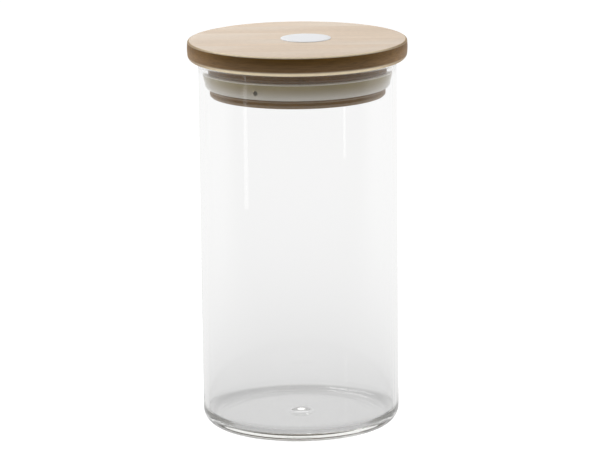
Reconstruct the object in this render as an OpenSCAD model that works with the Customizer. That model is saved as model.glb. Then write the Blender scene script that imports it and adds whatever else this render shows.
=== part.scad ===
// Lidded glass canister: a blown glass jar, closed by a bamboo lid whose plug carries a hollow
// silicone ring. Lengths are in millimetres. +Z is up, and the origin is the middle of the
// circle that the jar stands on. The front, with the ring's vent hole, faces -Y.

/* [Jar] */
// Outside diameter of the glass
jar_d = 100; // [80:1:140]
// Height of the glass, from the table to the top of its rim
jar_h = 187.7; // [100:0.1:300]
// Thickness of the glass wall
wall_t = 2.4; // [1.8:0.1:3.2]
// Thickness of the glass floor
floor_t = 5; // [2:0.1:7]
// Radius of the heel, outside, between wall and floor
heel_r = 7.5; // [2:0.1:10]
// Radius of the corner, inside, between wall and floor
corner_r = 5; // [2:0.1:9]
// Width of the ring that the jar stands on
foot_w = 3; // [1.5:0.1:8]
// How far the middle of the floor rises above the ring that the jar stands on
punt_h = 0.8; // [0.3:0.1:3]
// Thickness of the fire-polished bead round the rim
rim_t = 2.6; // [2.4:0.1:3.6]
// Diameter of the pip in the middle of the floor
pip_d = 13; // [4:0.5:16]
// Height of the pip above the floor
pip_h = 1; // [0.5:0.1:3]

/* [Lid disc] */
// How far the disc stands out past the glass, all round
disc_overhang = 5.5; // [1:0.1:12]
// Thickness of the disc
disc_t = 9.9; // [6:0.1:15]
// Radius on the disc's upper edge
disc_edge_r = 1; // [0.3:0.1:2]
// Radius on the disc's lower edge
disc_foot_r = 3; // [0.3:0.1:4]

/* [Lid plug] */
// Height of the plug under the disc
plug_h = 17.8; // [15.5:0.1:40]
// Gap all round between the plug's wood and the glass
plug_gap = 3.3; // [1.5:0.1:6]
// Height of the plain wood between the disc and the groove
plug_shoulder_h = 4.8; // [2:0.1:6]
// Chamfer round the plug's lower edge
plug_edge = 0.7; // [0.3:0.1:1.5]
// Height of the groove that holds the ring
groove_h = 9; // [6:0.1:10]
// Depth of the groove, measured in from the plug's side
groove_depth = 3.4; // [2.5:0.1:8]

/* [Sealing ring] */
// Thickness of the band that hugs the groove
band_t = 1.2; // [0.8:0.1:1.4]
// Thickness of the ring's outer skin, top and bottom
skin_t = 0.8; // [0.5:0.1:1]
// How far the ring's lower edge stands out of the groove
ring_foot_out = 0.2; // [0:0.1:1]
// Height over which the ring's skin bellies out to its full width
ring_belly_h = 3.2; // [1.5:0.1:4]
// How far the skin still leans out between its belly and its lip
ring_lean = 0.5; // [0.1:0.1:1]
// Diameter of the vent hole
vent_d = 2.4; // [1:0.1:2.6]
// Height of the vent hole above the ring's lower face
vent_h = 3.7; // [2.8:0.1:4]
// Direction of the vent hole, turned from the front
vent_turn = -26; // [-180:1:180]

/* [Label] */
// Diameter of the round label
label_d = 25.5; // [10:0.5:40]
// Thickness of the label
label_t = 0.3; // [0.1:0.1:1]
// Place of the label's middle, to the right of the lid's middle
label_x = 4.3; // [-15:0.1:15]
// Place of the label's middle, behind the lid's middle
label_y = 1.5; // [-15:0.1:15]

/* [Fits] */
// Gap between the glass rim and the disc that closes it
rest_gap = 0.2; // [0.1:0.05:0.8]
// Gap between the ring's lip and the glass
lip_gap = 0.3; // [0.1:0.05:1]
// Running gap between the ring's band and the bottom of its groove
band_gap = 0.05; // [0.02:0.01:0.1]
// Gap between the ring and each side of its groove
groove_side_gap = 0.15; // [0.05:0.05:0.4]

/* [Hidden] */
$fn = 180;

// Steps in each curved outline that is worked out point by point
steps = 12;
// Length by which a cutting shape runs past what it cuts
past = 1;

jar_r = jar_d / 2;
mouth_r = jar_r - wall_t;
rim_r = rim_t / 2;
rim_z = jar_h - rim_r;
foot_inner_r = jar_r - heel_r - foot_w;
pip_r = pip_d / 2;

disc_r = jar_r + disc_overhang;
disc_z = jar_h + rest_gap;
lid_top_z = disc_z + disc_t;

plug_r = mouth_r - plug_gap;
plug_z = disc_z - plug_h;
groove_r = plug_r - groove_depth;
groove_top_z = disc_z - plug_shoulder_h;
groove_z = groove_top_z - groove_h;

ring_z = groove_z + groove_side_gap;
ring_h = groove_h - 2 * groove_side_gap;
ring_inner_r = groove_r + band_gap;
ring_foot_r = plug_r + ring_foot_out;
lip_r = mouth_r - lip_gap;
belly_r = lip_r - ring_lean;

// Rise of the floor above its edge, at a distance from the axis: a shallow dome
function floor_rise(r) = punt_h * (1 - pow(min(r / foot_inner_r, 1), 2));

// Rise of the pip above the floor: one smooth hump, level at its middle and at its edge
function pip_rise(r) = r < pip_r ? pip_h * (1 + cos(180 * r / pip_r)) / 2 : 0;

// Radius of the ring's skin at a height above the ring's lower face: a quarter of an ellipse
// up to the belly, and a straight lean from there to the lip
function skin_r(z) =
    z < ring_belly_h
        ? ring_foot_r + (belly_r - ring_foot_r) * sqrt(1 - pow(1 - z / ring_belly_h, 2))
        : belly_r + ring_lean * (z - ring_belly_h) / (ring_h - ring_belly_h);

// Outline of the glass from the axis outwards, without the bead on its rim
module jar_outline() {
    difference() {
        union() {
            translate([0, heel_r]) square([jar_r, rim_z - heel_r]);
            square([jar_r - heel_r, heel_r]);
            translate([jar_r - heel_r, heel_r]) circle(heel_r);
        }
        jar_inside();
        polygon([
            for (i = [0 : steps]) let (r = foot_inner_r * i / steps) [r, floor_rise(r)],
            [foot_inner_r, -past],
            [0, -past]
        ]);
    }
}

// Outline of the hollow inside the glass, open at the top
module jar_inside() {
    flat_r = mouth_r - corner_r;
    translate([0, floor_t + corner_r]) square([mouth_r, jar_h]);
    translate([flat_r, floor_t + corner_r]) circle(corner_r);
    polygon([
        for (i = [0 : steps]) let (r = pip_r * i / steps) [r, floor_t + floor_rise(r) + pip_rise(r)],
        for (i = [1 : steps]) let (r = pip_r + (flat_r - pip_r) * i / steps) [r, floor_t + floor_rise(r)],
        [flat_r, floor_t + 2 * corner_r],
        [0, floor_t + 2 * corner_r]
    ]);
}

// The jar: wall, heel, floor with its pip, and the bead that the flame leaves round the rim
module glass_jar() {
    color([0.86, 0.91, 0.92, 0.4])
    rotate_extrude() {
        jar_outline();
        translate([mouth_r + rim_r, rim_z]) circle(rim_r);
    }
}

// The disc that covers the mouth, with a small radius on its upper edge and a full one below
module lid_disc() {
    color([0.85, 0.76, 0.66])
    translate([0, 0, disc_z])
    rotate_extrude() {
        square([disc_r - disc_foot_r, disc_t]);
        translate([0, disc_foot_r]) square([disc_r - disc_edge_r, disc_t - disc_foot_r]);
        translate([0, disc_foot_r]) square([disc_r, disc_t - disc_foot_r - disc_edge_r]);
        translate([disc_r - disc_foot_r, disc_foot_r]) circle(disc_foot_r);
        translate([disc_r - disc_edge_r, disc_t - disc_edge_r]) circle(disc_edge_r);
    }
}

// The plug under the disc, with the groove turned round it
module lid_plug() {
    color([0.62, 0.5, 0.36])
    rotate_extrude()
    polygon([
        [0, plug_z],
        [plug_r - plug_edge, plug_z],
        [plug_r, plug_z + plug_edge],
        [plug_r, groove_z],
        [groove_r, groove_z],
        [groove_r, groove_top_z],
        [plug_r, groove_top_z],
        [plug_r, disc_z],
        [0, disc_z]
    ]);
}

// Outline of the sealing ring, or of its hollow when it is drawn with the skin's thickness
module ring_outline(inner_r, skin) {
    polygon([
        [inner_r, skin],
        for (i = [0 : steps]) let (z = skin + (ring_belly_h - skin) * i / steps) [skin_r(z) - skin, z],
        [skin_r(ring_h - skin) - skin, ring_h - skin],
        [inner_r, ring_h - skin]
    ]);
}

// The ring: a hollow tube whose skin bellies out to the glass, with one vent hole through it
module seal_ring() {
    hollow_r = ring_inner_r + band_t;
    color([0.9, 0.9, 0.88, 0.7])
    translate([0, 0, ring_z])
    difference() {
        rotate_extrude() ring_outline(ring_inner_r, 0);
        rotate_extrude() ring_outline(hollow_r, skin_t);
        rotate([0, 0, vent_turn])
            translate([0, -(hollow_r + band_t), vent_h])
                rotate([90, 0, 0]) cylinder(h = lip_r - hollow_r, d = vent_d);
    }
}

// The round label on top of the disc
module lid_label() {
    color([0.97, 0.97, 0.98])
    translate([label_x, label_y, lid_top_z]) cylinder(h = label_t, d = label_d);
}

glass_jar();
lid_disc();
lid_plug();
seal_ring();
lid_label();
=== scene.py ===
"""Lidded glass canister: the finished surfaces of a blown glass jar with a bamboo lid.

Laid out as an add-on. Each piece has its own operator, its sizes are properties in metres, and
main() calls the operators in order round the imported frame.
"""

import math

import bpy
import numpy as np
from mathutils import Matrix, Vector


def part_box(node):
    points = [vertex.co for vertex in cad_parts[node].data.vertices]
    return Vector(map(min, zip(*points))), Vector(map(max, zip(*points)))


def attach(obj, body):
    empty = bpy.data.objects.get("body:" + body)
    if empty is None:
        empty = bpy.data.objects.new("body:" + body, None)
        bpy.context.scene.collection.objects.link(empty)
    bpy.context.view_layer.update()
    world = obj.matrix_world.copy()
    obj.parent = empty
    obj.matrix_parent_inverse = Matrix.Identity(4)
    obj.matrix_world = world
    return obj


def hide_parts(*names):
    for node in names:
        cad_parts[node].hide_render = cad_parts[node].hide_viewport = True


bl_info = {
    "name": "Lidded Glass Canister",
    "version": (1, 0, 0),
    "blender": (4, 5, 0),
    "location": "View3D > Sidebar > Canister",
    "description": "Builds the surfaces of a blown glass canister with a bamboo lid",
    "category": "Add Mesh",
}

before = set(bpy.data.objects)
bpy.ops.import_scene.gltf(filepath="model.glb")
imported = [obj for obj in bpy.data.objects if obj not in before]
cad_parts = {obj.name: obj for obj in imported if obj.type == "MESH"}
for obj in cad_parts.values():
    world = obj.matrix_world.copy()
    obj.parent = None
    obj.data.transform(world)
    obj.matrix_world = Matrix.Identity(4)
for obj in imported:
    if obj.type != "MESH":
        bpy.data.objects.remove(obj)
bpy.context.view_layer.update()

MM = 0.001
JAR_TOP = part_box("glass_jar")[1][2]
DISC_LOW, DISC_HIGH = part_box("lid_disc")
PLUG_LOW, PLUG_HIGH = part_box("lid_plug")
RING_LOW, RING_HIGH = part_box("seal_ring")
LABEL_LOW, LABEL_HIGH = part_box("lid_label")

# Columns of faces round each piece, and round the rod that cuts the vent hole
JAR_COLUMNS = 256
LID_COLUMNS = 192
RING_COLUMNS = 256
LABEL_COLUMNS = 96
VENT_COLUMNS = 32


# --- Sizes and colours ---------------------------------------------------------------------


def length(name, default, description):
    """A length in metres, as a property."""
    return bpy.props.FloatProperty(
        name=name, default=default, min=0.0, precision=5, unit="LENGTH", description=description
    )


def number(name, default, description, low=0.0, high=100.0):
    """A plain number, as a property."""
    return bpy.props.FloatProperty(
        name=name, default=default, min=low, max=high, description=description
    )


def colour(name, default, description):
    """A linear colour, as a property."""
    return bpy.props.FloatVectorProperty(
        name=name,
        default=default,
        size=3,
        min=0.0,
        max=1.0,
        subtype="COLOR",
        description=description,
    )


class CanisterJar(bpy.types.PropertyGroup):
    """Sizes and tint of the glass"""

    radius: length("Radius", 50 * MM, "Outside radius of the glass wall")
    wall: length("Wall", 2.4 * MM, "Thickness of the wall")
    floor: length("Floor", 5 * MM, "Thickness of the floor")
    heel: length("Heel radius", 8 * MM, "Outside radius between wall and floor")
    corner: length("Corner radius", 5 * MM, "Inside radius between wall and floor")
    foot: length("Foot width", 3 * MM, "Width of the ring that the jar stands on")
    punt: length("Punt", 0.8 * MM, "Rise of the middle of the floor")
    rim: length("Rim bead", 2.6 * MM, "Thickness of the bead round the rim")
    pip_radius: length("Pip radius", 6.5 * MM, "Radius of the pip in the floor")
    pip_height: length("Pip height", 1 * MM, "Height of the pip")
    draw: length("Draw marks", 0.03 * MM, "How far the blown wall's thickness wanders")
    draw_start: length("Draw marks' start", 15 * MM, "Height at which the draw marks start")
    draw_end: length("Draw marks' end", 30 * MM, "Distance from the rim at which they end")
    ior: number("Index of refraction", 1.47, "Index of refraction of the glass", 1.0, 2.0)
    tint: colour("Tint", (0.87, 0.87, 0.84), "Colour left in light after a long way of glass")
    density: number("Tint strength", 10.0, "Absorption of the glass, per metre")
    shadow: colour("Shadow", (0.96, 0.97, 0.97), "Share of a lamp's light that each face lets past")


class CanisterLid(bpy.types.PropertyGroup):
    """Sizes and colours of the bamboo disc and plug"""

    edge: length("Upper edge", 1 * MM, "Radius on the disc's upper edge")
    foot: length("Lower edge", 3 * MM, "Radius on the disc's lower edge")
    crown: length("Crown", 0.15 * MM, "How far the middle of the disc's side stands out")
    plug_chamfer: length("Plug chamfer", 0.7 * MM, "Chamfer round the plug's lower edge")
    groove_depth: length("Groove depth", 3.4 * MM, "Depth of the groove for the ring")
    groove_gap: length("Groove side gap", 0.15 * MM, "Gap between the ring and its groove's sides")
    strip: length("Strip width", 19 * MM, "Width of one glued bamboo strip")
    face: colour("Face", (0.78, 0.66, 0.54), "Colour of the sanded face")
    # The rounded edges' colour is a painted highlight, paler and warmer than the face
    edge_highlight: colour("Edges", (1.0, 0.84, 0.58), "Colour of the disc's rounded edges")
    # side, shaded_side_top and plug are written much darker than the face; part of that is painted
    # shade, and shaded_side_top is painted shade high up on the side
    side: colour("Side", (0.20, 0.113, 0.042), "Colour of the turned side")
    shaded_side_top: colour("Side, high up", (0.14, 0.068, 0.008), "Colour of the side near its top")
    plug: colour("Plug", (0.155, 0.074, 0.004), "Colour of the plug's side")
    # Painted light: the side is written paler towards the ends along X, where light falls on it
    # from the sides
    ends_painted_light: number("End grain", 1.6, "How many times paler the side is across the fibres")
    # Towards the ends along X the painted edge highlight gives way to the side's colour
    ends_highlight_fade: number("End wear", 0.8, "How far the side's colour covers the edges there", 0, 1)
    oil: number("Oil", 0.12, "Weight of the satin oil on the disc", 0, 1)


class CanisterRing(bpy.types.PropertyGroup):
    """Sizes and colours of the sealing ring"""

    band: length("Band", 1.2 * MM, "Thickness of the band in the groove")
    skin: length("Skin", 0.8 * MM, "Thickness of the skin")
    belly_height: length("Belly height", 3.2 * MM, "Height over which the skin bellies out")
    foot_out: length("Foot", 0.2 * MM, "How far the lower edge stands out of the groove")
    lean: length("Lean", 0.5 * MM, "How far the skin leans out between belly and lip")
    vent: length("Vent", 2.4 * MM, "Diameter of the vent hole")
    vent_height: length("Vent height", 3.7 * MM, "Height of the vent hole above the lower face")
    vent_turn: number("Vent turn", -26.0, "Direction of the vent, turned from the front", -180, 180)
    play: length("Play", 0.05 * MM, "Gap between the band and the bottom of its groove")
    lip_radius: length("Lip radius", 0.5 * MM, "Radius on the lip")
    # shaded_shoulder is painted shade under the lid, with the brown of the wood behind painted in;
    # lip is a painted highlight
    rubber: colour("Silicone", (0.715, 0.665, 0.585), "Colour of the silicone")
    shaded_shoulder: colour("Shoulder", (0.41, 0.33, 0.175), "Colour of the silicone higher up")
    lip: colour("Lip", (1.0, 0.96, 0.86), "Colour of the silicone's thin lip")
    shadow: colour("Shadow", (0.75, 0.75, 0.75), "Share of a lamp's light that each face lets past")


class CanisterStudio(bpy.types.PropertyGroup):
    """Camera, lamps and the light of the surround"""

    lens: length("Lens", 0.230301, "Focal length of the camera")
    distance: length("Distance", 1.9050, "Distance of the camera in front of the jar's axis")
    height: length("Height", 0.5187, "Height of the camera above the floor")
    aside: length("Aside", 0.0004, "Distance of the camera to the right of the jar's axis")
    pitch: number("Pitch", 12.331, "Angle at which the camera looks down", 0, 90)
    roll: number("Roll", 0.642, "Angle at which the camera leans", -10, 10)
    front: number("Front fill", 0.11, "Light from the camera's side", 0, 5)
    back: number("Back fill", 0.6, "Light from behind", 0, 5)
    sides: number("Side fill", 0.8, "Further light from the left and from the right", 0, 5)
    top: number("Top light", 4.0, "Power of the lamp over the lid, in watts", 0, 1000)
    behind: number("Back light", 2.0, "Power of the lamp behind the lid, in watts", 0, 1000)
    strip: number("Strip light", 0.07, "Power of the narrow lamp at the left, in watts", 0, 10)


# --- Meshes --------------------------------------------------------------------------------


def new_piece(name, points, faces, smooth=True):
    """An object at the origin from arrays of points and of faces."""
    mesh = bpy.data.meshes.new(name)
    mesh.from_pydata(points.tolist(), [], faces)
    mesh.polygons.foreach_set("use_smooth", np.full(len(mesh.polygons), smooth))
    mesh.update()
    piece = bpy.data.objects.new(name, mesh)
    bpy.context.scene.collection.objects.link(piece)
    return piece


def arc(centre, radius, start, end, count):
    """Points on a circle round centre, from the angle start to the angle end, in degrees."""
    turn = np.radians(np.linspace(start, end, count))
    return np.column_stack(
        (centre[0] + radius * np.cos(turn), centre[1] + radius * np.sin(turn))
    )


def line(start, end, count):
    """Points on a straight line, both ends included."""
    share = np.linspace(0.0, 1.0, count)[:, None]
    return np.asarray(start) * (1 - share) + np.asarray(end) * share


def joined(*stretches):
    """One outline from several stretches, with each point that repeats the last one dropped."""
    outline = np.vstack(stretches)
    keep = np.ones(len(outline), bool)
    keep[1:] = np.linalg.norm(np.diff(outline, axis=0), axis=1) > 1e-7
    return outline[keep]


def smoothed(share):
    """A share from 0 to 1, eased at both ends: three times its square less twice its cube."""
    return share * share * (3 - 2 * share)


def quads(rows, columns, wrap_rows=False):
    """Faces of a grid of points whose columns close on themselves, as do its rows if asked."""
    last = rows if wrap_rows else rows - 1
    row, column = np.meshgrid(np.arange(last), np.arange(columns), indexing="ij")
    below, beside = (row + 1) % rows, (column + 1) % columns
    corners = (
        row * columns + column,
        row * columns + beside,
        below * columns + beside,
        below * columns + column,
    )
    return np.stack(corners, axis=-1).reshape(-1, 4)


def turned(outline, columns, wander=None):
    """Points of an outline of (radius, height) carried round the axis. wander gives an extra
    radius at each point from its angle and from the outline."""
    angle = np.linspace(0.0, 2 * np.pi, columns, endpoint=False)
    radius = np.repeat(outline[:, :1], columns, axis=1)
    height = np.repeat(outline[:, 1:], columns, axis=1)
    if wander is not None:
        radius = radius + wander(angle[None, :], outline)
    return np.stack((radius * np.sin(angle), -radius * np.cos(angle), height), axis=-1)


def lathed(name, outline, columns, wander=None):
    """A closed body from an outline that starts and ends on the axis. It runs from the lower
    end, out and up, to the upper end, so that its faces point outwards."""
    body = turned(outline[1:-1], columns, wander).reshape(-1, 3)
    rows = len(outline) - 2
    low = len(body)
    points = np.vstack((body, [[0, 0, outline[0, 1]], [0, 0, outline[-1, 1]]]))
    here = np.arange(columns)
    beside = (here + 1) % columns
    top_row = (rows - 1) * columns
    faces = quads(rows, columns).tolist()
    faces += np.column_stack((np.full(columns, low), beside, here)).tolist()
    faces += np.column_stack((np.full(columns, low + 1), top_row + here, top_row + beside)).tolist()
    return new_piece(name, points, faces)


def side_share(piece):
    """Writes two attributes from the way that the surface looks. side is 1 where it looks
    sideways and 0 elsewhere, and edge_highlight is 1 on the rounded edges between side and face,
    where a highlight is painted. Each grows with the level part of the normal, and on the lower
    edge side grows more slowly."""
    upper_start, upper_span = 0.94, 0.05
    lower_start, lower_span = 0.86, 0.15
    brow_start, brow_span = 0.05, 0.25
    mesh = piece.data
    normals = np.empty(len(mesh.vertices) * 3, np.float32)
    mesh.vertex_normals.foreach_get("vector", normals)
    normals = normals.reshape(-1, 3)
    level = np.hypot(normals[:, 0], normals[:, 1])
    looks_up = normals[:, 2] > 0
    start = np.where(looks_up, upper_start, lower_start)
    span = np.where(looks_up, upper_span, lower_span)
    side = np.clip((level - start) / span, 0, 1)
    edge_highlight = np.clip((level - brow_start) / brow_span, 0, 1) * (1 - side)
    for name, share in (("side", side), ("edge_highlight", edge_highlight)):
        layer = mesh.attributes.new(name, "FLOAT", "POINT")
        layer.data.foreach_set("value", smoothed(share).astype(np.float32))


def settle(piece, body, node, material):
    """Gives a piece its material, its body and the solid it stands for."""
    piece.data.materials.append(material)
    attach(piece, body)
    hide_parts(node)


# --- Materials -----------------------------------------------------------------------------

# Waves of each noise in the wood, to the metre: along the grain, and twice across it
FIBRES = (25, 700, 700)
FLECKS = (380, 1100, 1100)
BANDS = (5, 110, 110)
PATCHES = (12, 30, 30)
# Range that a noise mostly keeps to
USUAL = (0.3, 0.7)


class Nodes:
    """Short ways to add and link shader nodes in one tree."""

    def __init__(self, tree):
        self.tree = tree

    def feed(self, target, value):
        """Links a socket to target, or sets target's own value."""
        if isinstance(value, bpy.types.NodeSocket):
            self.tree.links.new(value, target)
        elif target.type == "RGBA" and len(value) == 3:
            target.default_value = (*value, 1.0)
        else:
            target.default_value = value

    def make(self, kind, sockets, **settings):
        """Adds a node with its settings, feeds its sockets by name or by place, and gives its
        outputs."""
        node = self.tree.nodes.new(kind)
        for name, value in settings.items():
            setattr(node, name, value)
        for key, value in sockets.items():
            self.feed(node.inputs[key], value)
        return node.outputs

    def maths(self, operation, *values):
        """One step of arithmetic."""
        return self.make("ShaderNodeMath", dict(enumerate(values)), operation=operation)[0]

    def mix(self, share, first, second, way="MIX"):
        """A colour that goes from the first to the second."""
        sockets = {"Factor": share, "A": first, "B": second}
        return self.make("ShaderNodeMix", sockets, data_type="RGBA", blend_type=way)["Result"]

    def blend(self, share, first, second):
        """A number that goes from the first to the second."""
        sockets = {"Factor": share, "A": first, "B": second}
        return self.make("ShaderNodeMix", sockets, data_type="FLOAT")["Result"]

    def span(self, value, low, high, to_low=0.0, to_high=1.0):
        """Moves a value from one range to another, smoothly at both ends, and no further."""
        sockets = dict(enumerate((value, low, high, to_low, to_high)))
        return self.make("ShaderNodeMapRange", sockets, interpolation_type="SMOOTHSTEP")["Result"]

    def noise(self, vector, scale, detail=2.0, roughness=0.5):
        """Cloudy noise, from 0 to 1."""
        sockets = {"Vector": vector, "Scale": scale, "Detail": detail, "Roughness": roughness}
        return self.make("ShaderNodeTexNoise", sockets)["Fac"]

    def placed(self, vector, scale, turn=(0, 0, 0)):
        """A vector stretched by scale and then turned, in radians."""
        sockets = {"Vector": vector, "Scale": scale, "Rotation": turn}
        return self.make("ShaderNodeMapping", sockets)["Vector"]

    def apart(self, vector):
        """The X, Y and Z of a vector."""
        return self.make("ShaderNodeSeparateXYZ", {0: vector})

    def place(self):
        """The point on the surface, in the piece's own coordinates."""
        return self.make("ShaderNodeTexCoord", {})["Object"]

    def light_path(self):
        """What is known of the ray that meets the surface."""
        return self.make("ShaderNodeLightPath", {})

    def shader(self, kind, **sockets):
        """A shader whose sockets are named with _ for each space."""
        spaced = {name.replace("_", " "): value for name, value in sockets.items()}
        return self.make(kind, spaced)[0]

    def either(self, flag, first, second):
        """The second shader where the flag is set, else the first."""
        return self.make("ShaderNodeMixShader", {0: flag, 1: first, 2: second})[0]

    def finish(self, **shaders):
        """Ends a material with its output."""
        self.make("ShaderNodeOutputMaterial", shaders)


def new_material(name):
    """An empty node material, and the helper for its tree."""
    material = bpy.data.materials.new(name)
    material.use_nodes = True
    material.node_tree.nodes.clear()
    return material, Nodes(material.node_tree)


def bamboo_grain_group():
    """Fine fibres along X, in glued strips that differ a little. Puts out a tone that multiplies
    the wood's colour, a warmth mask and a height for bump."""
    fibre_weight, band_weight, fleck_weight, middle = 0.45, 0.35, 0.4, 0.6
    slip_share = 0.7
    strip_difference = 0.06
    patch_start, patch_full = 0.35, 0.65
    tree = bpy.data.node_groups.new("bamboo_grain", "ShaderNodeTree")
    for name, kind, way in (
        ("Place", "NodeSocketVector", "INPUT"),
        ("Strip", "NodeSocketFloat", "INPUT"),
        ("Contrast", "NodeSocketFloat", "INPUT"),
        ("Tone", "NodeSocketFloat", "OUTPUT"),
        ("Warmth", "NodeSocketFloat", "OUTPUT"),
        ("Height", "NodeSocketFloat", "OUTPUT"),
    ):
        tree.interface.new_socket(name, in_out=way, socket_type=kind)
    nodes = Nodes(tree)
    inside = nodes.make("NodeGroupInput", {})
    place = inside["Place"]
    strip = nodes.maths("FLOOR", nodes.maths("DIVIDE", nodes.apart(place)["Y"], inside["Strip"]))
    random = nodes.make("ShaderNodeTexWhiteNoise", {"W": strip}, noise_dimensions="1D")
    # Each strip is cut from another place in the wood
    slip = {0: random["Color"], "Scale": slip_share}
    slipped = nodes.make("ShaderNodeVectorMath", slip, operation="SCALE")[0]
    shifted = nodes.make("ShaderNodeVectorMath", {0: place, 1: slipped}, operation="ADD")[0]
    fibres, flecks, bands, patches = (
        nodes.noise(nodes.placed(shifted, waves), 1.0, detail, roughness)
        for waves, detail, roughness in (
            (FIBRES, 3.0, 0.6),
            (FLECKS, 1.0, 0.5),
            (BANDS, 2.0, 0.5),
            (PATCHES, 1.0, 0.5),
        )
    )
    # The tone is 1 with the noises' weighted sum above its middle, and each strip's own share
    mixed = nodes.maths("MULTIPLY", bands, band_weight)
    mixed = nodes.maths("MULTIPLY_ADD", fibres, fibre_weight, mixed)
    mixed = nodes.maths("MULTIPLY_ADD", flecks, fleck_weight, mixed)
    contrast = nodes.maths("MULTIPLY", nodes.maths("SUBTRACT", mixed, middle), inside["Contrast"])
    centred = nodes.maths("SUBTRACT", random["Value"], 0.5)
    uneven = nodes.maths("MULTIPLY", centred, strip_difference)
    tone = nodes.maths("ADD", nodes.maths("ADD", contrast, 1.0), uneven)
    warmth = nodes.span(patches, patch_start, patch_full)
    nodes.make("NodeGroupOutput", {"Tone": tone, "Warmth": warmth, "Height": fibres})
    return tree


def glass_material(jar):
    """Clear blown glass: smooth, with a faint tint where light crosses a long way of it. Lamps
    reach what is behind it."""
    material, nodes = new_material("blown_glass")
    glass = nodes.shader(
        "ShaderNodeBsdfPrincipled",
        Base_Color=(1, 1, 1),
        Roughness=0.0,
        IOR=jar.ior,
        Transmission_Weight=1.0,
    )
    clear = nodes.shader("ShaderNodeBsdfTransparent", Color=jar.shadow)
    tint = nodes.shader("ShaderNodeVolumeAbsorption", Color=jar.tint, Density=jar.density)
    in_shadow = nodes.light_path()["Is Shadow Ray"]
    nodes.finish(Surface=nodes.either(in_shadow, glass, clear), Volume=tint)
    return material


def bamboo_material(name, lid, grain, side, shaded_upper, edge_highlight, oil):
    """Sanded bamboo: pale faces with fine fibres along X, and a darker turned side. The side's
    colour is partly painted shade, and towards the ends along X, where it cuts across the fibres,
    it is painted paler, as if lit from there. side is its colour low down and shaded_upper higher
    up, where painted shade darkens it. edge_highlight is the colour of the rounded edges, a
    painted highlight, which gives way to the side's colour where the side cuts across the fibres,
    and oil is the weight of the satin oil over it."""
    face_contrast, side_contrast = 0.5, 1.5
    warm_patch = (0.97, 0.92, 0.86)
    side_stretch, side_slant = (0.35, 0.35, 2.2), (0, 0, 0.2)
    # Distances from the middle, along the fibres, between which the side is painted paler, as if
    # lit from the ends, and the painted edge highlight fades to the side's colour
    ends_light_start, ends_light_full = 30 * MM, 56 * MM
    highlight_fade_start, highlight_fade_full = 34 * MM, 54 * MM
    material, nodes = new_material(name)
    place = nodes.place()
    apart = nodes.apart(place)
    aside = nodes.maths("ABSOLUTE", apart["X"])

    face_values = {"Place": place, "Strip": lid.strip, "Contrast": face_contrast}
    face_grain = nodes.make("ShaderNodeGroup", face_values, node_tree=grain)
    warm = tuple(part * share for part, share in zip(lid.face, warm_patch))
    plain = nodes.mix(face_grain["Warmth"], lid.face, warm)
    # Mask of the rounded edges, which carry the painted highlight
    edges = nodes.make("ShaderNodeAttribute", {}, attribute_name="edge_highlight")["Fac"]
    face = nodes.mix(1.0, nodes.mix(edges, plain, edge_highlight), face_grain["Tone"], "MULTIPLY")

    lying = nodes.placed(place, side_stretch, side_slant)
    side_values = {"Place": lying, "Strip": 1.0, "Contrast": side_contrast}
    side_grain = nodes.make("ShaderNodeGroup", side_values, node_tree=grain)
    # Painted shade: the side darkens towards its top and is lighter low down, where the floor
    # lights it
    rise = nodes.span(apart["Z"], DISC_LOW[2] + lid.foot, DISC_HIGH[2] - lid.edge)
    # Painted light: towards the ends along X, where the side cuts across the fibres, its colour is
    # made paler
    across = nodes.span(aside, ends_light_start, ends_light_full, 1.0, lid.ends_painted_light)
    tone = nodes.maths("MULTIPLY", side_grain["Tone"], across)
    dark = nodes.mix(1.0, nodes.mix(rise, side, shaded_upper), tone, "MULTIPLY")

    sideways = nodes.make("ShaderNodeAttribute", {}, attribute_name="side")["Fac"]
    # Towards the ends along X the painted highlight on the edges gives way to the side's colour
    highlight_fade = nodes.span(aside, highlight_fade_start, highlight_fade_full, 0.0, lid.ends_highlight_fade)
    faded_highlight = nodes.maths("MULTIPLY", edges, highlight_fade)
    height = face_grain["Height"]
    bump = nodes.make("ShaderNodeBump", {"Strength": 0.25, "Distance": 0.2 * MM, "Height": height})
    wood = nodes.shader(
        "ShaderNodeBsdfPrincipled",
        Base_Color=nodes.mix(nodes.maths("MAXIMUM", sideways, faded_highlight), face, dark),
        Roughness=nodes.span(height, *USUAL, 0.5, 0.62),
        Specular_IOR_Level=0.1 + oil,
        Coat_Weight=oil,
        Coat_Roughness=0.25,
        Normal=bump[0],
    )
    nodes.finish(Surface=wood)
    return material


def silicone_material(ring):
    """Translucent silicone: milky and a little see-through. Higher up it is painted darker and
    browner, as shade under the lid, with the brown of the wood behind it painted in. Its lip
    carries a painted highlight. Lamps reach what is behind it, dimmed."""
    # Heights between which painted shade turns it brown, and then a painted highlight pales the lip
    brown_shade_start, brown_shade_full = RING_LOW[2] + MM, RING_HIGH[2] - 2 * MM
    lip_highlight_start, lip_highlight_full = RING_HIGH[2] - 0.75 * MM, RING_HIGH[2] - 0.4 * MM
    material, nodes = new_material("clear_silicone")
    place = nodes.place()
    height = nodes.apart(place)["Z"]
    lip = nodes.span(height, lip_highlight_start, lip_highlight_full)
    body = nodes.mix(nodes.span(height, brown_shade_start, brown_shade_full), ring.rubber, ring.shaded_shoulder)
    cloud = nodes.noise(place, 260.0)
    rubber = nodes.shader(
        "ShaderNodeBsdfPrincipled",
        Base_Color=nodes.mix(lip, body, ring.lip),
        Roughness=nodes.span(cloud, *USUAL, 0.28, 0.38),
        IOR=1.41,
        Transmission_Weight=0.2,
    )
    dimmed = nodes.shader("ShaderNodeBsdfTransparent", Color=ring.shadow)
    nodes.finish(Surface=nodes.either(nodes.light_path()["Is Shadow Ray"], rubber, dimmed))
    return material


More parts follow.
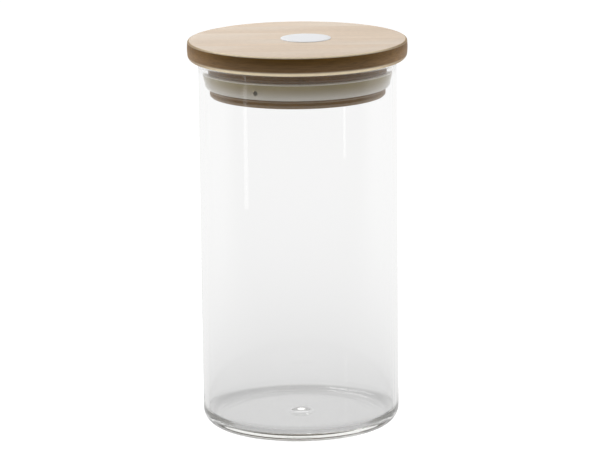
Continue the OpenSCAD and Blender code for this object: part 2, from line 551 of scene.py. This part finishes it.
def paper_material():
    """Plain white coated paper, with a fine fleck in its white and in its gloss."""
    dull, bright = (0.86, 0.87, 0.89), (0.92, 0.93, 0.95)
    material, nodes = new_material("label_paper")
    fleck = nodes.noise(nodes.place(), 900.0)
    paper = nodes.shader(
        "ShaderNodeBsdfPrincipled",
        Base_Color=nodes.mix(fleck, dull, bright),
        Roughness=nodes.span(fleck, *USUAL, 0.38, 0.46),
    )
    nodes.finish(Surface=paper)
    return material


# --- Outlines ------------------------------------------------------------------------------


def jar_outline(jar):
    """The glass in section: from the middle of the underside, out along the standing ring, up
    the wall, round the rim and down inside to the pip. The floor is a shallow dome and the pip a
    cosine hump."""
    floor_steps = 24
    mouth = jar.radius - jar.wall
    foot_inner = jar.radius - jar.heel - jar.foot
    flat = mouth - jar.corner
    bead = jar.rim / 2
    bead_middle = (mouth + bead, JAR_TOP - bead)
    meet = math.degrees(math.acos((jar.radius - bead_middle[0]) / bead))
    bead_low = bead_middle[1] - bead * math.sin(math.radians(meet))

    def dome(radius):
        return jar.punt * (1 - np.minimum(radius / foot_inner, 1) ** 2)

    under = np.linspace(0, foot_inner, floor_steps)
    level = np.linspace(flat, jar.pip_radius, floor_steps)
    inside = np.concatenate((level, np.linspace(jar.pip_radius, 0, floor_steps)))
    hump = jar.pip_height * (1 + np.cos(np.pi * inside / jar.pip_radius)) / 2
    pip = np.where(inside < jar.pip_radius, hump, 0)
    return joined(
        np.column_stack((under, dome(under))),
        arc((jar.radius - jar.heel, jar.heel), jar.heel, -90, 0, count=16),
        line((jar.radius, jar.heel), (jar.radius, bead_low), count=30),
        arc(bead_middle, bead, -meet, 180, count=22),
        line((mouth, bead_middle[1]), (mouth, jar.floor + jar.corner), count=30),
        arc((flat, jar.floor + jar.corner), jar.corner, 0, -90, count=18),
        np.column_stack((inside, jar.floor + dome(inside) + pip)),
    )


def disc_outline(lid):
    """The disc in section: flat faces, a full radius on the lower edge, a small one above, and a
    side that stands out in the middle by the square of the distance from it."""
    rows = 10
    radius, low, high = DISC_HIGH[0], DISC_LOW[2], DISC_HIGH[2]
    foot, edge = radius - lid.crown - lid.foot, radius - lid.crown - lid.edge
    up = np.linspace(low + lid.foot, high - lid.edge, rows)
    share = np.linspace(-1, 1, rows)
    side = np.column_stack((radius - lid.crown * share**2, up))
    return joined(
        line((0, low), (foot, low), count=12),
        arc((foot, low + lid.foot), lid.foot, -90, 0, count=16)[:-1],
        side,
        arc((edge, high - lid.edge), lid.edge, 0, 90, count=8)[1:],
        line((edge, high), (0, high), count=12),
    )


def plug_outline(lid):
    """The plug in section, with the groove for the ring between its two lands. Corners are
    doubled close together, so that they stay crisp when shaded smooth."""
    radius, low, high = PLUG_HIGH[0], PLUG_LOW[2], PLUG_HIGH[2]
    groove_low, groove_high = RING_LOW[2] - lid.groove_gap, RING_HIGH[2] + lid.groove_gap
    depth = radius - lid.groove_depth
    soft = 0.15 * MM
    return joined(
        line((0, low), (radius - lid.plug_chamfer, low), count=10),
        line((radius, low + lid.plug_chamfer), (radius, groove_low - soft), count=4),
        line((radius - soft, groove_low), (depth + soft, groove_low), count=4),
        line((depth, groove_low + soft), (depth, groove_high - soft), count=4),
        line((depth + soft, groove_high), (radius - soft, groove_high), count=4),
        line((radius, groove_high + soft), (radius, high - soft), count=4),
        line((radius - soft, high), (0, high), count=10),
    )


def skin_radius(ring, height, tall, foot, lip):
    """Radius of the ring's skin: a quarter of an ellipse up to the belly, then a straight lean."""
    belly = lip - ring.lean
    share = np.clip(1 - height / ring.belly_height, 0, 1)
    lean = np.clip((height - ring.belly_height) / (tall - ring.belly_height), 0, 1)
    return foot + (belly - foot) * np.sqrt(1 - share**2) + ring.lean * lean


def ring_outline(ring, inner, skin):
    """The ring in section, or its hollow when it is drawn with the skin's thickness. Its lip is
    rounded, and heights crowd together low down, where the skin turns most."""
    belly_steps, lean_steps = 14, 12
    low, tall = RING_LOW[2], RING_HIGH[2] - RING_LOW[2]
    foot, lip = PLUG_HIGH[0] + ring.foot_out, RING_HIGH[0]
    soft = max(ring.lip_radius - skin, 0.1 * MM)
    crowded = 1 - np.cos(np.linspace(0, np.pi / 2, belly_steps))
    belly = skin + (ring.belly_height - skin) * crowded
    leaning = np.linspace(ring.belly_height, tall - skin - soft, lean_steps)[1:]
    height = np.concatenate((belly, leaning))
    outside = np.column_stack((skin_radius(ring, height, tall, foot, lip) - skin, low + height))
    top, bottom = low + tall - skin, low + skin
    return joined(
        line((inner, bottom), (outside[0, 0], bottom), count=6),
        outside,
        arc((outside[-1, 0] - soft, outside[-1, 1]), soft, 0, 90, count=6),
        line((outside[-1, 0] - soft, top), (inner, top), count=8),
        line((inner, top), (inner, bottom), count=8)[:-1],
    )


# --- Operators -----------------------------------------------------------------------------


class CANISTER_OT_glass(bpy.types.Operator):
    """Adds the blown glass jar: one closed surface, lathed from its section"""

    bl_idname = "canister.glass"
    bl_label = "Glass Jar"

    def execute(self, context):
        jar = context.scene.canister_jar

        def wander(angle, section):
            """Draw marks inside the wall: three waves round the jar and seven smaller ones, which
            twist as they climb."""
            height = section[:, 1:]
            swell = np.sin(3 * angle + 9 * height) + 0.6 * np.sin(7 * angle - 31 * height + 1.3)
            inner = section[:, :1] < jar.radius - jar.wall / 2
            wall = (height > jar.draw_start) & (height < JAR_TOP - jar.draw_end) & inner
            return jar.draw * swell * wall * 0.5

        piece = lathed("blown_jar", jar_outline(jar), JAR_COLUMNS, wander)
        settle(piece, "jar", "glass_jar", glass_material(jar))
        return {"FINISHED"}


class CANISTER_OT_lid(bpy.types.Operator):
    """Adds the bamboo disc and the plug under it"""

    bl_idname = "canister.lid"
    bl_label = "Bamboo Lid"

    def execute(self, context):
        lid = context.scene.canister_lid
        grain = bamboo_grain_group()
        # The side and plug colours are partly painted shade, and the disc's edges carry a painted
        # highlight
        disc_finish = (lid.side, lid.shaded_side_top, lid.edge_highlight, lid.oil)
        plug_finish = (lid.plug, lid.plug, lid.plug, 0.0)
        for name, node, outline, surface, finish in (
            ("bamboo_disc", "lid_disc", disc_outline(lid), "bamboo_face", disc_finish),
            ("bamboo_plug", "lid_plug", plug_outline(lid), "bamboo_plug", plug_finish),
        ):
            piece = lathed(name, outline, LID_COLUMNS)
            side_share(piece)
            settle(piece, "lid", node, bamboo_material(surface, lid, grain, *finish))
        return {"FINISHED"}


class CANISTER_OT_ring(bpy.types.Operator):
    """Adds the hollow silicone ring with its vent hole"""

    bl_idname = "canister.ring"
    bl_label = "Sealing Ring"

    def execute(self, context):
        ring = context.scene.canister_ring
        lid = context.scene.canister_lid
        inner = PLUG_HIGH[0] - lid.groove_depth + ring.play
        outside = turned(ring_outline(ring, inner, 0.0), RING_COLUMNS)
        hollow = turned(ring_outline(ring, inner + ring.band, ring.skin)[::-1], RING_COLUMNS)
        faces = (
            quads(len(outside), RING_COLUMNS, True),
            quads(len(hollow), RING_COLUMNS, True) + len(outside) * RING_COLUMNS,
        )
        points = np.vstack((outside.reshape(-1, 3), hollow.reshape(-1, 3)))
        piece = new_piece("silicone_ring", points, np.vstack(faces).tolist())
        self.pierce(piece, ring)
        settle(piece, "ring", "seal_ring", silicone_material(ring))
        return {"FINISHED"}

    def pierce(self, piece, ring):
        """Cuts the vent hole through the skin with a short rod, and keeps the corners crisp."""
        turn = math.radians(ring.vent_turn)
        towards = np.array([math.sin(turn), -math.cos(turn), 0.0])
        beside = np.array([math.cos(turn), math.sin(turn), 0.0])
        up = np.array([0.0, 0.0, 1.0])
        angle = np.linspace(0, 2 * np.pi, VENT_COLUMNS, endpoint=False)[:, None]
        circle = ring.vent / 2 * (np.cos(angle) * beside + np.sin(angle) * up)
        centre = up * (RING_LOW[2] + ring.vent_height)
        near = circle + centre + towards * (PLUG_HIGH[0] - MM)
        far = circle + centre + towards * (RING_HIGH[0] + MM)
        near_end = list(range(VENT_COLUMNS))[::-1]
        far_end = list(range(VENT_COLUMNS, 2 * VENT_COLUMNS))
        faces = quads(2, VENT_COLUMNS).tolist() + [near_end, far_end]
        rod = new_piece("vent_rod", np.vstack((near, far)), faces, smooth=False)
        cut = piece.modifiers.new("vent", "BOOLEAN")
        cut.operation, cut.solver, cut.object = "DIFFERENCE", "EXACT", rod
        graph = bpy.context.evaluated_depsgraph_get()
        piece.data = bpy.data.meshes.new_from_object(piece.evaluated_get(graph))
        piece.modifiers.clear()
        bpy.data.objects.remove(rod)
        piece.data.set_sharp_from_angle(angle=math.radians(40))


class CANISTER_OT_label(bpy.types.Operator):
    """Adds the plain round label on the disc"""

    bl_idname = "canister.label"
    bl_label = "Label"

    def execute(self, context):
        middle = (LABEL_LOW + LABEL_HIGH) / 2
        radius, low, high = (LABEL_HIGH[0] - LABEL_LOW[0]) / 2, LABEL_LOW[2], LABEL_HIGH[2]
        soft = (high - low) / 3
        outline = joined(
            line((0, low), (radius, low), count=6),
            line((radius, high - soft), (radius - soft, high), count=3),
            line((radius - soft, high), (0, high), count=6),
        )
        piece = lathed("round_label", outline, LABEL_COLUMNS)
        points = np.empty(len(piece.data.vertices) * 3, np.float32)
        piece.data.vertices.foreach_get("co", points)
        points = points.reshape(-1, 3) + (middle[0], middle[1], 0)
        piece.data.vertices.foreach_set("co", points.ravel())
        settle(piece, "lid", "lid_label", paper_material())
        return {"FINISHED"}


class CANISTER_OT_studio(bpy.types.Operator):
    """Adds the pale floor, the light and the camera"""

    bl_idname = "canister.studio"
    bl_label = "Studio"

    def execute(self, context):
        studio = context.scene.canister_studio
        self.add_floor()
        self.add_world(studio)
        self.add_lamps(studio)
        self.add_camera(context, studio)
        context.scene.view_settings.view_transform = "Standard"
        light_paths = context.scene.cycles
        light_paths.max_bounces = 32
        light_paths.glossy_bounces = 24
        light_paths.transmission_bounces = 24
        return {"FINISHED"}

    def add_floor(self):
        """A square of floor, a hair below the jar."""
        half, drop = 6.0, 0.02 * MM
        corners = half * np.array([[-1, -1, 0], [1, -1, 0], [1, 1, 0], [-1, 1, 0]])
        corners[:, 2] = -drop
        floor = new_piece("pale_floor", corners, [[0, 1, 2, 3]], smooth=False)
        floor.data.materials.append(self.floor_material())

    def floor_material(self):
        """White to the camera, with the object's shadow. Through glass it carries a painted shade
        of the jar: grey under the jar, darker at the back, and paler round it as the distance
        grows. To reflections it is dim in front and white behind. The light that it gives is strong
        close by, and reaches what stands behind glass as well."""
        # Through glass: the jar's painted shade, grey under the jar, and round it a grey that
        #         nears far_grey by a falling exponential
        under_front, under_back, under_half = 0.51, 0.46, 30 * MM
        under_edge, around_start = 54 * MM, 62 * MM
        far_grey, near_drop, drop_length = 0.96, 0.348, 0.1675
        # To reflections: from front to back
        dim, bright, dim_until, bright_from = 0.08, 0.95, -0.3, 0.1
        # As a light: from close by to far off
        strong, weak, strong_until, weak_from = 1.0, 0.4, 0.15, 0.6
        material, nodes = new_material("pale_floor")
        path = nodes.light_path()
        place = nodes.place()
        across = nodes.apart(place)["Y"]
        distance = nodes.make("ShaderNodeVectorMath", {0: place}, operation="LENGTH")["Value"]

        fading = nodes.maths("EXPONENT", nodes.maths("DIVIDE", distance, -drop_length))
        around = nodes.maths("MULTIPLY_ADD", fading, -near_drop, far_grey)
        under = nodes.span(across, -under_half, under_half, under_front, under_back)
        outside = nodes.span(distance, under_edge, around_start)
        through = nodes.blend(outside, under, around)
        mirrored = nodes.span(across, dim_until, bright_from, dim, bright)
        bounced = nodes.span(distance, strong_until, weak_from, strong, weak)
        clear = nodes.maths("LESS_THAN", path["Diffuse Depth"], 0.5)

        shader = self.glowing(nodes, bounced)
        for flag, glow in (
            ("Is Glossy Ray", mirrored),
            ("Is Transmission Ray", nodes.blend(clear, bounced, through)),
        ):
            shader = nodes.either(path[flag], shader, self.glowing(nodes, glow))
        shaded = nodes.shader("ShaderNodeBsdfDiffuse", Color=(0.4, 0.4, 0.4))
        pale = self.glowing(nodes, (0.8, 0.8, 0.8))
        seen = nodes.make("ShaderNodeAddShader", {0: shaded, 1: pale})[0]
        nodes.finish(Surface=nodes.either(path["Is Camera Ray"], shader, seen))
        return material

    def glowing(self, nodes, glow):
        """Light of one colour, whatever falls on the floor."""
        return nodes.shader("ShaderNodeEmission", Color=glow)

    def add_world(self, studio):
        """A white surround to the camera and through glass, a little grey at the sides. The light
        that it gives, and its reflection, are dim from the front and bright from behind."""
        # Each range is of a direction's own Y or X, from -1 to 1
        front_until, back_from = -0.7, 0.3
        sides_start, sides_full = 0.6, 0.98
        white, grey, white_until, grey_from = 1.0, 0.6, 0.45, 0.9
        world = bpy.data.worlds.new("surround")
        world.use_nodes = True
        world.node_tree.nodes.clear()
        nodes = Nodes(world.node_tree)
        path = nodes.light_path()
        towards = nodes.apart(nodes.make("ShaderNodeTexCoord", {})["Generated"])
        aside = nodes.maths("ABSOLUTE", towards["X"])
        facing = nodes.span(towards["Y"], front_until, back_from, studio.front, studio.back)
        beside = nodes.span(aside, sides_start, sides_full, 0.0, studio.sides)
        fill = nodes.maths("ADD", facing, beside)
        clear = nodes.maths("LESS_THAN", path["Diffuse Depth"], 0.5)
        straight = nodes.maths("MAXIMUM", path["Is Camera Ray"], path["Is Transmission Ray"])
        seen = nodes.maths("MULTIPLY", clear, straight)
        plain = nodes.span(aside, white_until, grey_from, white, grey)
        strength = nodes.blend(seen, fill, plain)
        light = nodes.shader("ShaderNodeBackground", Color=(1, 1, 1), Strength=strength)
        nodes.make("ShaderNodeOutputWorld", {"Surface": light})
        bpy.context.scene.world = world

    def add_lamps(self, studio):
        """A wide soft lamp over the lid, a smaller one behind it at the left, and a narrow upright
        one at the left that draws a thin streak down the glass. Places are in metres, and turns
        in degrees."""
        for name, size, power, place, turn in (
            ("top_softbox", (1.2, 1.2), studio.top, (0.0, 0.35, 1.3), (-15, 0, 0)),
            ("back_softbox", (0.4, 0.4), studio.behind, (-0.3, 0.45, 0.7), (-42, -24, 0)),
            ("strip_lamp", (0.03, 0.5), studio.strip, (-0.53, -0.282, 0.25), (90, 0, -62)),
        ):
            light = bpy.data.lights.new(name, "AREA")
            light.shape = "RECTANGLE"
            light.size, light.size_y = size
            light.energy = power
            lamp = bpy.data.objects.new(name, light)
            lamp.location = place
            lamp.rotation_euler = [math.radians(angle) for angle in turn]
            bpy.context.scene.collection.objects.link(lamp)

    def add_camera(self, context, studio):
        """The camera stands in front, looks down a little, and leans a little."""
        data = bpy.data.cameras.new("camera")
        data.sensor_width = 36.0
        data.lens = studio.lens / MM
        camera = bpy.data.objects.new("camera", data)
        camera.rotation_mode = "ZYX"
        camera.location = (studio.aside, -studio.distance, studio.height)
        camera.rotation_euler = (math.radians(90 - studio.pitch), 0, math.radians(-studio.roll))
        context.scene.collection.objects.link(camera)
        context.scene.camera = camera


class CANISTER_PT_panel(bpy.types.Panel):
    """Lists the canister's operators and sizes"""

    bl_label = "Canister"
    bl_idname = "CANISTER_PT_panel"
    bl_space_type = "VIEW_3D"
    bl_region_type = "UI"
    bl_category = "Canister"

    def draw(self, context):
        for operator in OPERATORS:
            self.layout.operator(operator.bl_idname)
        for name in GROUPS:
            group = getattr(context.scene, name)
            box = self.layout.box()
            box.label(text=name.replace("_", " ").capitalize())
            for item in type(group).__annotations__:
                box.prop(group, item)


GROUPS = {
    "canister_jar": CanisterJar,
    "canister_lid": CanisterLid,
    "canister_ring": CanisterRing,
    "canister_studio": CanisterStudio,
}
OPERATORS = (
    CANISTER_OT_glass,
    CANISTER_OT_lid,
    CANISTER_OT_ring,
    CANISTER_OT_label,
    CANISTER_OT_studio,
)


def register():
    """Registers the classes, and hangs the groups of properties on the scene."""
    for one in (*GROUPS.values(), *OPERATORS, CANISTER_PT_panel):
        bpy.utils.register_class(one)
    for name, group in GROUPS.items():
        setattr(bpy.types.Scene, name, bpy.props.PointerProperty(type=group))


def unregister():
    """Undoes register, in reverse order."""
    for name in GROUPS:
        delattr(bpy.types.Scene, name)
    for one in reversed((*GROUPS.values(), *OPERATORS, CANISTER_PT_panel)):
        bpy.utils.unregister_class(one)


def main():
    """Makes every piece and the studio."""
    register()
    bpy.ops.canister.glass()
    bpy.ops.canister.lid()
    bpy.ops.canister.ring()
    bpy.ops.canister.label()
    bpy.ops.canister.studio()


if __name__ == "__main__":
    main()
